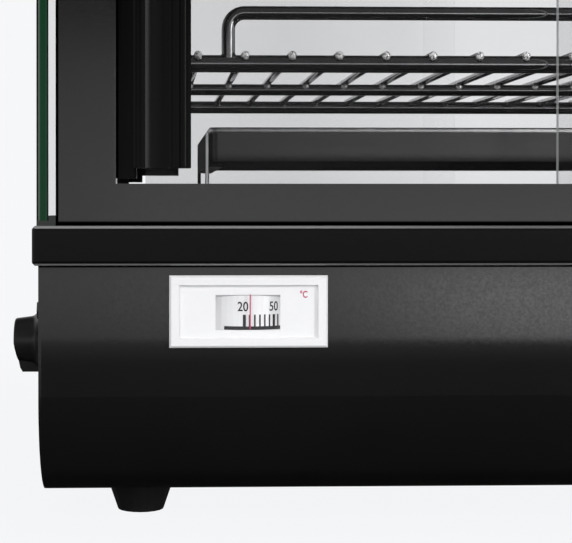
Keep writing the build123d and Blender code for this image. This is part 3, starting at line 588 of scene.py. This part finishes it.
def glass(name, body, edge, alpha, axis, edge_alpha=0.96, ramp=None, stripes=None):
    """Flat glass seen as a thin veil, with darker or lighter ground edges."""
    material, tree, shader = new_material(name)
    shader.inputs["Roughness"].default_value = 0.03
    shader.inputs["IOR"].default_value = 1.5
    shader.inputs["Specular IOR Level"].default_value = 0.08
    face = facing(tree, axis, 0.7)
    veil = spread(tree, noise(tree, 6.0, 3.0), alpha * 0.95, alpha * 1.05)
    if ramp:
        veil = along_x(tree, veil, ramp)
    tint = blend_colour(tree, face, edge, body)
    if stripes:
        tree.links.new(stripes(tree), tint.node.inputs[6])
    tree.links.new(tint, shader.inputs["Base Color"])
    pick = tree.nodes.new("ShaderNodeMix")
    pick.inputs[2].default_value = edge_alpha
    tree.links.new(face, pick.inputs[0])
    tree.links.new(veil, pick.inputs[3])
    tree.links.new(pick.outputs[0], shader.inputs["Alpha"])
    return material


def edge_stripes(tree):
    """Ground edge of an end glass: dark arris, pale line, deep green middle."""
    across = spread(tree, from_middle(tree), 0, 1, *end_glass_edge)
    ramp = tree.nodes.new("ShaderNodeValToRGB")
    colours = ((0.0, (0.002, 0.004, 0.003)), (0.10, (0.002, 0.004, 0.003)), (0.16, (0.014, 0.050, 0.026)),
               (0.30, (0.006, 0.032, 0.014)), (0.66, (0.006, 0.034, 0.015)), (0.74, (0.030, 0.065, 0.042)),
               (0.80, (0.120, 0.135, 0.120)), (0.86, (0.003, 0.005, 0.003)), (0.95, (0.003, 0.005, 0.003)),
               (1.0, (0.050, 0.055, 0.050)))
    stops = ramp.color_ramp.elements
    for spot, colour in colours[1:-1]:
        stops.new(spot).color = (*colour, 1)
    stops[0].color = (*colours[0][1], 1)
    stops[-1].color = (*colours[-1][1], 1)
    tree.links.new(across, ramp.inputs["Fac"])
    return ramp.outputs["Color"]


def stand_paint():
    """Black strip whose cut front edges are bare metal, painted white as a highlight on the front legs only.
    """
    material, tree, shader = new_material("stand_paint")
    low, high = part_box("pan_stand")
    near = combine(tree, "LESS_THAN", own_place(tree)["Y"], stand_front)
    outside = combine(tree, "GREATER_THAN", from_middle(tree), (high.x - low.x) / 2 - stand_edge_highlight)
    edge = combine(tree, "MULTIPLY", facing(tree, 1, 0.9), combine(tree, "MULTIPLY", near, outside))
    tree.links.new(blend_colour(tree, edge, (0.004, 0.004, 0.004), (0.95, 0.96, 0.97)),
                   shader.inputs["Base Color"])
    shader.inputs["Specular IOR Level"].default_value = 0.02
    fine = noise(tree, 300.0, 2.0)
    tree.links.new(spread(tree, fine, 0.30, 0.40), shader.inputs["Roughness"])
    add_bump(tree, shader, fine, 0.1, 0.0001)
    return material


materials = {
    "satin_black_paint": satin_paint("satin_black"),
    "gloss_black_paint": ledge_paint(),
    "black_extrusion": extrusion("extrusion_black", (0.0025, 0.0025, 0.0025), 0.20, (1, 1, 0.01)),
    "clear_glass": glass("front_glass", clear_tint, (0.85, 0.87, 0.88), veil_in_x[0][1], 1, ramp=veil_in_x),
    "end_glass": glass("end_glass", (0.02, 0.05, 0.030), (0.003, 0.013, 0.0055), 0.12, 0, 1.0,
                       stripes=edge_stripes),
    "chrome_wire": wire_ends(metal("chrome", (0.34, 0.34, 0.345), 0.08, 120.0, 0.12)),
    "black_rubber": plain("rubber", (0.010, 0.010, 0.010), 0.55, 0.3),
    "zinc_steel": metal("zinc", (0.50, 0.51, 0.53), 0.34, 160.0, 0.2),
    "bright_steel": metal("steel", (0.60, 0.60, 0.61), 0.28, 90.0, 0.04),
    "element_steel": metal("element", (0.20, 0.18, 0.17), 0.42, 140.0, 0.25),
    "white_plastic": plain("white_plastic", (0.80, 0.80, 0.81), 0.32, 0.45, 700.0, 0.03, 1.02),
    "ceramic": plain("ceramic", (0.66, 0.62, 0.55), 0.50),
    "black_plastic": plain("black_plastic", (0.008, 0.008, 0.008), 0.34, 0.4),
    "red_line": plain("red_line", red_ink, 0.40),
    "spacer_grey": plain("spacer", (0.020, 0.022, 0.020), 0.60),
    "lamp_glass": glass("lamp_glass", (0.85, 0.85, 0.83), (0.85, 0.85, 0.83), 0.55, 0),
    "cover_glass": glass("cover", (0.90, 0.92, 0.93), (0.80, 0.82, 0.83), 0.02, 1, 0.10),
}
rear_glass = glass("rear_glass", clear_tint, (0.30, 0.31, 0.31), 0.015, 1, 0.06)
special_materials = {
    "base_wrap": base_paint(),
    "gauge_case": materials["white_plastic"],
    "water_pan": paint("pan_black", pan_dark, pan_light, 0.16, 300.0, 0.08, pan_shade),
    "pan_stand": stand_paint(),
    "rear_left_pane": rear_glass,
    "rear_right_pane": rear_glass,
}
ink_material = plain("scale_ink", ink, 0.45, 0.1)
red_material = plain("unit_ink", red_ink, 0.45, 0.2)
shade_material = plain("window_shade", (0.30, 0.30, 0.31), 0.6, 0.1)
rim_material = metal("rim_wear", (0.92, 0.92, 0.93), 0.42, 300.0, 0.1)

for row in frame["record"]["subparts"]:
    material = special_materials.get(row["node"], materials[row["material_slot"]])
    nodes[row["node"]].data.materials.clear()
    nodes[row["node"]].data.materials.append(material)


def guard_path(level):
    """Line of the guard loop, up from the front rail and across."""
    y = -shelf_rail_y
    left = centre_shift - guard_leg
    right = centre_shift + guard_leg
    top = level + guard_rise
    r = guard_bend
    path = [Vector((left, y, level))]
    path += arc((left + r, y, top - r), 180, 90, r, (1, 0, 0), (0, 0, 1))
    path += arc((right - r, y, top - r), 90, 0, r, (1, 0, 0), (0, 0, 1))
    path.append(Vector((right, y, level)))
    return path


def cross_wire(form, x, z, rails):
    """One wire with domed ends, welded to the rails that it crosses."""
    end = wire_reach - wire_radius * wire_dome
    sweep_tube(form, [(x, -end, z), (x, end, z)], wire_radius, 16, wire_radius * wire_dome)
    if abs(x - centre_shift) < shelf_half - weld_margin:
        for y, rail_z, radius in rails:
            bead(form, Vector((x, y - radius * weld_out, rail_z + radius * weld_up)), wire_weld)


def wire_shelf(index, body):
    """Chromed rack with round rails, domed wires, welds and a guard loop."""
    form = bmesh.new()
    level = shelf_levels[index]
    low = centre_shift - shelf_half + rail_end
    high = centre_shift + shelf_half - rail_end
    wire_z = level + wire_rise
    middle_z = wire_z - wire_radius + middle_sink - middle_radius
    rails = ((-shelf_rail_y, level, rail_radius), (0, middle_z, middle_radius),
             (shelf_rail_y, level, rail_radius))
    for y, z, radius in rails:
        sweep_tube(form, [(low, y, z), (high, y, z)], radius, 32, rail_dome)
    sweep_tube(form, guard_path(level), guard_radius, 20)
    for side in (-1, 1):
        bead(form, Vector((centre_shift + side * guard_leg, -shelf_rail_y, level + rail_radius)), guard_weld)
    for step in range(wire_count):
        cross_wire(form, centre_shift + (step - (wire_count - 1) / 2) * wire_pitch, wire_z, rails)
    name = f"wire_shelf_{index + 1}"
    piece = link(from_bmesh(form, name), name, body, materials["chrome_wire"])
    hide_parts(f"shelf_{index + 1}")


def pan_rim():
    """Bright rolled edge round the top of the water pan."""
    low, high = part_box("water_pan")
    r = rim_corner
    z = high.z - rim_half.z - rim_drop
    x0, x1 = low.x + rim_inset + r, high.x - rim_inset - r
    y0, y1 = low.y + rim_inset + r, high.y - rim_inset - r
    path = []
    for (x, y), start in (((x1, y0), -90), ((x1, y1), 0), ((x0, y1), 90), ((x0, y0), 180)):
        path += arc((x, y, z), start, start + 90, r, (1, 0, 0), (0, 1, 0), 6)
    form = bmesh.new()
    up = Vector((0, 0, 1))
    rings = []
    for index, point in enumerate(path):
        along = (path[(index + 1) % len(path)] - path[index - 1]).normalized()
        side = up.cross(along)
        ring = []
        for step in range(rim_sides):
            angle = 2 * math.pi * step / rim_sides
            offset = side * math.cos(angle) + up * math.sin(angle)
            ring.append(form.verts.new(point + offset * rim_half))
        rings.append(ring)
    skin(form, rings, closed=True)
    link(from_bmesh(form, "pan_rim"), "pan_rim", "pan", rim_material)


def knob_hub(form, back, front, y, z):
    """Round flared body of the knob, cut back along the slant of its bar."""
    last = 360 - 360 / knob_sides
    rings = []
    for reach, radius in knob_outline:
        ring = arc((back - reach, y, z), 0, last, radius, (0, 1, 0), (0, 0, 1), knob_sides - 1)
        for point in ring:
            slant = max(0.0, z - point.z - slant_start) * slant_rate
            point.x = max(point.x, front + slant)
        rings.append([form.verts.new(point) for point in ring])
    skin(form, rings)
    form.faces.new(rings[0])
    form.faces.new(rings[-1])


def pointer_knob():
    """Knob with a flared skirt and a bar whose lower end slants back."""
    low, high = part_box("thermostat_knob")
    y = (low.y + high.y) / 2
    z = (low.z + high.z) / 2
    front = low.x + knob_setback
    form = bmesh.new()
    knob_hub(form, high.x, front, y, z)
    profile = [(high.x, 0.0), (front, 0.0), (front, slant_start)]
    profile += [(low.x + reach, drop) for reach, drop in bar_end]
    profile.append((high.x, bar_end[-1][1]))
    sides = []
    for side in (-1, 1):
        sides.append([form.verts.new((x, y + side * (bar_half - drop * bar_taper), z - drop))
                      for x, drop in profile])
    skin(form, sides)
    ends = [form.faces.new(sides[0]), form.faces.new(sides[1])]
    edges = {edge for face in ends for edge in face.edges}
    bmesh.ops.bevel(form, geom=list(edges), offset=bar_bevel, segments=2, affect="EDGES")
    mesh = from_bmesh(form, "pointer_knob")
    piece = link(mesh, "pointer_knob", "knob", materials["black_plastic"])
    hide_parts("thermostat_knob")


def text_mesh(words, height, name, weight=0.012):
    """Flat lettering as a mesh with its lower left corner at the origin, and its width."""
    curve = bpy.data.curves.new(name, "FONT")
    curve.body = words
    curve.offset = weight
    curve.resolution_u = 6
    holder = bpy.data.objects.new(name, curve)
    bpy.context.scene.collection.objects.link(holder)
    bpy.context.view_layer.update()
    mesh = bpy.data.meshes.new_from_object(holder)
    bpy.data.objects.remove(holder)
    low = Vector((min(v.co.x for v in mesh.vertices), min(v.co.y for v in mesh.vertices), 0))
    high = Vector((max(v.co.x for v in mesh.vertices), max(v.co.y for v in mesh.vertices), 0))
    scale = height / (high.y - low.y)
    for vertex in mesh.vertices:
        vertex.co = (vertex.co - low) * scale
    return mesh, (high.x - low.x) * scale


def on_drum(degrees):
    """Point on the drum's skin, at an angle from the front, to the right."""
    low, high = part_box("gauge_drum")
    angle = math.radians(degrees)
    radius = drum_radius + ink_lift
    return (low.x + high.x) / 2 + radius * math.sin(angle), (low.y + high.y) / 2 - radius * math.cos(angle)


def angle_of(celsius):
    """Place of a temperature round the drum, in degrees."""
    return twenty_at + (celsius - 20) * turn_per_degree


def drum_patch(form, start, end, low, high):
    """Printed patch between two angles and two heights."""
    steps = max(1, int(abs(end - start) / 2))
    lower = []
    upper = []
    for step in range(steps + 1):
        x, y = on_drum(start + (end - start) * step / steps)
        lower.append(form.verts.new((x, y, low)))
        upper.append(form.verts.new((x, y, high)))
    for step in range(steps):
        form.faces.new((lower[step], lower[step + 1], upper[step + 1], upper[step]))


def drum_number(form, celsius):
    """A number wrapped round the drum above its tick."""
    mesh, width = text_mesh(str(celsius), digit_height, "digits")
    nudge = twenty_nudge if celsius == 20 else 0
    for vertex in mesh.vertices:
        across = (vertex.co.x - width / 2) * digit_squeeze - nudge
        x, y = on_drum(angle_of(celsius) + math.degrees(across / drum_radius))
        vertex.co = (x, y, digit_low + vertex.co.y)
    form.from_mesh(mesh)
    bpy.data.meshes.remove(mesh)


def gauge_scale():
    """Ticks, base band and numbers printed on the drum."""
    form = bmesh.new()
    drum_patch(form, angle_of(0), angle_of(scale_end), band_low, band_high)
    for celsius in range(20, scale_end + 1, tick_step):
        half = wide_tick if celsius in numbers else fine_tick
        drum_patch(form, angle_of(celsius) - half, angle_of(celsius) + half, tick_low, tick_high)
    for celsius in numbers:
        drum_number(form, celsius)
    link(from_bmesh(form, "gauge_scale"), "gauge_scale", "drum", ink_material)


def frame_ring(form, outer, inner, y):
    """Corner points of a rectangle and of the window in it, on one plane."""
    rings = []
    for (x0, x1, z0, z1) in (outer, inner):
        rings.append([form.verts.new((x, y, z)) for x, z in ((x0, z0), (x1, z0), (x1, z1), (x0, z1))])
    return rings


def gauge_plate():
    """Printed face with its window."""
    low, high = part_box("gauge_face")
    x, z = (low.x + high.x) / 2, (low.z + high.z) / 2
    outer = (low.x - plate_lap, high.x + plate_lap, low.z - plate_lap, high.z + plate_lap)
    window = (x - window_left, x + window_right, z - window_bottom, z + window_top)
    form = bmesh.new()
    front_outer, front_inner = frame_ring(form, outer, window, low.y)
    back_outer, back_inner = frame_ring(form, outer, window, high.y)
    skin(form, (front_outer, front_inner, back_inner, back_outer), closed=True)
    mesh = from_bmesh(form, "gauge_plate")
    piece = link(mesh, "gauge_plate", "cabinet", materials["white_plastic"])
    piece.visible_shadow = False
    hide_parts("gauge_face")


def window_arch():
    """Grey strip of painted shade under the top edge of the gauge window, deeper at its corners."""
    low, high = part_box("gauge_face")
    middle = (low.x + high.x) / 2
    top = (low.z + high.z) / 2 + window_top
    front, back = low.y + shade_strip_inset, high.y - shade_strip_inset
    form = bmesh.new()
    rings = []
    for step in range(shade_strip_steps + 1):
        across = -window_left + (window_left + window_right) * step / shade_strip_steps
        edge = top - shade_strip_drop - shade_strip_curve * (across / window_left) ** 2
        corners = ((front, top + shade_strip_root), (front, edge), (back, edge), (back, top + shade_strip_root))
        rings.append([form.verts.new((middle + across, y, z)) for y, z in corners])
    skin(form, rings)
    form.faces.new(rings[0])
    form.faces.new(rings[-1])
    piece = link(from_bmesh(form, "window_arch"), "window_arch", "cabinet", shade_material)
    piece.visible_shadow = False


def gauge_cover():
    """Clear cover, a hair in front of the printed face."""
    low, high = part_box("gauge_lens")
    back = Vector((high.x, high.y - plate_gap, high.z))
    piece = box_piece("gauge_cover", low, back, materials["cover_glass"])
    piece.visible_shadow = False
    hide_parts("gauge_lens")


def index_hair():
    """Fine red pointer line over the window."""
    low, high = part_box("gauge_index_line")
    middle = (low.x + high.x) / 2
    left = Vector((middle - hair_width / 2, low.y, low.z))
    right = Vector((middle + hair_width / 2, high.y, high.z))
    piece = box_piece("index_hair", left, right, red_material)
    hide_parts("gauge_index_line")


def unit_mark():
    """Red degree and C near the upper right corner of the gauge face."""
    low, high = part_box("gauge_face")
    start = Vector((high.x, low.y, high.z)) + Vector(unit_place)
    mesh = text_mesh("°C", unit_height, "unit_mark", unit_weight)[0]
    for vertex in mesh.vertices:
        vertex.co = start + Vector((vertex.co.x * unit_squeeze, 0, vertex.co.y))
    link(mesh, "unit_mark", "cabinet", red_material)


for index, body in enumerate(("lower_shelf", "middle_shelf", "upper_shelf")):
    wire_shelf(index, body)
pan_rim()
pointer_knob()
gauge_plate()
window_arch()
gauge_cover()
index_hair()
gauge_scale()
unit_mark()


def softbox(name, place, target, width, height, radiance):
    """Rectangular soft light of a given brightness, aimed at a point."""
    data = bpy.data.lights.new(name, "AREA")
    data.shape = "RECTANGLE"
    data.size = width
    data.size_y = height
    data.energy = radiance * math.pi * width * height
    lamp = bpy.data.objects.new(name, data)
    bpy.context.scene.collection.objects.link(lamp)
    lamp.location = place
    way = Vector(target) - Vector(place)
    lamp.rotation_euler = way.to_track_quat("-Z", "Y").to_euler()
    lamp.visible_camera = False
    lamp.visible_glossy = name == reflected_light


def studio_brightness(tree, x, y, z):
    """Bright band at the front near eye level, dark above, dim table, pale rear."""
    band = soft_band(tree, z, *band_edges)
    right = combine(tree, "MULTIPLY", ranged(tree, x, *right_glow), ranged(tree, z, *right_glow_top))
    level = combine(tree, "ADD", ranged(tree, x, *band_step), right)
    lit = combine(tree, "MULTIPLY", combine(tree, "MULTIPLY", band, level), ranged(tree, z, *band_fade))
    table = combine(tree, "MULTIPLY", ranged(tree, z, *table_glow), ranged(tree, z, *table_edge))
    front = combine(tree, "ADD", combine(tree, "ADD", lit, table), ranged(tree, z, *haze))
    rear = combine(tree, "MULTIPLY", ranged(tree, z, *rear_upper), ranged(tree, z, *rear_lower))
    share = ranged(tree, y, *rear_share)
    kept = combine(tree, "MULTIPLY", front, combine(tree, "SUBTRACT", 1.0, share))
    return combine(tree, "ADD", kept, combine(tree, "MULTIPLY", rear, share))


def mix_shaders(tree, share, first, second):
    """Two shaders mixed by a socket."""
    node = tree.nodes.new("ShaderNodeMixShader")
    tree.links.new(share, node.inputs[0])
    tree.links.new(first, node.inputs[1])
    tree.links.new(second, node.inputs[2])
    return node.outputs[0]


def coloured(tree, kind, colour):
    """Shader of one colour."""
    node = tree.nodes.new(kind)
    node.inputs["Color"].default_value = (*colour, 1)
    return node


def camera_sees(tree):
    """1 for what the camera sees, directly or through glass, 0 for light and gloss."""
    path = tree.nodes.new("ShaderNodeLightPath")
    return combine(tree, "MAXIMUM", path.outputs["Is Camera Ray"], path.outputs["Is Transmission Ray"])


def world_light():
    """White page for the camera, the studio for everything else."""
    world = bpy.data.worlds.new("studio")
    bpy.context.scene.world = world
    world.use_nodes = True
    tree = world.node_tree
    tree.nodes.clear()
    out = tree.nodes.new("ShaderNodeOutputWorld")
    place = tree.nodes.new("ShaderNodeTexCoord")
    split = tree.nodes.new("ShaderNodeSeparateXYZ")
    tree.links.new(place.outputs["Generated"], split.inputs["Vector"])
    studio = coloured(tree, "ShaderNodeBackground", (1.0, 1.0, 1.02))
    tree.links.new(studio_brightness(tree, *split.outputs), studio.inputs["Strength"])
    white = coloured(tree, "ShaderNodeBackground", page)
    mixed = mix_shaders(tree, camera_sees(tree), studio.outputs[0], white.outputs[0])
    tree.links.new(mixed, out.inputs["Surface"])


def floor_material():
    """Pale floor: the page's white for the camera, with a light shadow."""
    material = bpy.data.materials.new("floor")
    material.use_nodes = True
    tree = material.node_tree
    tree.nodes.clear()
    out = tree.nodes.new("ShaderNodeOutputMaterial")
    lit = coloured(tree, "ShaderNodeBsdfDiffuse", (0.45, 0.45, 0.46))
    glint = coloured(tree, "ShaderNodeBsdfDiffuse", (0.86, 0.87, 0.88))
    white = coloured(tree, "ShaderNodeEmission", page)
    geometry = tree.nodes.new("ShaderNodeNewGeometry")
    reach = tree.nodes.new("ShaderNodeVectorMath")
    reach.operation = "LENGTH"
    tree.links.new(geometry.outputs["Position"], reach.inputs[0])
    share = ranged(tree, reach.outputs["Value"], *page_fade)
    shown = mix_shaders(tree, share, glint.outputs[0], white.outputs[0])
    mixed = mix_shaders(tree, camera_sees(tree), lit.outputs[0], shown)
    tree.links.new(mixed, out.inputs["Surface"])
    return material


def floor():
    """Plain floor under the part."""
    form = bmesh.new()
    bmesh.ops.create_grid(form, x_segments=1, y_segments=1, size=floor_half)
    mesh = bpy.data.meshes.new("floor")
    form.to_mesh(mesh)
    form.free()
    plane = bpy.data.objects.new("floor", mesh)
    bpy.context.scene.collection.objects.link(plane)
    mesh.materials.append(floor_material())
    plane.visible_glossy = False


def add_camera():
    """Camera at the photograph's place."""
    data = bpy.data.cameras.new("camera")
    data.lens = lens
    data.sensor_width = sensor
    data.shift_x, data.shift_y = camera_shift
    data.clip_start = camera_near
    camera = bpy.data.objects.new("camera", data)
    bpy.context.scene.collection.objects.link(camera)
    camera.location = camera_place
    camera.rotation_euler = (math.radians(camera_tilt), 0, math.radians(camera_turn))
    bpy.context.scene.camera = camera


for name, values in lights.items():
    softbox(name, *values)
world_light()
floor()
add_camera()
bpy.context.scene.view_settings.view_transform = "Standard"

bpy.context.view_layer.update()
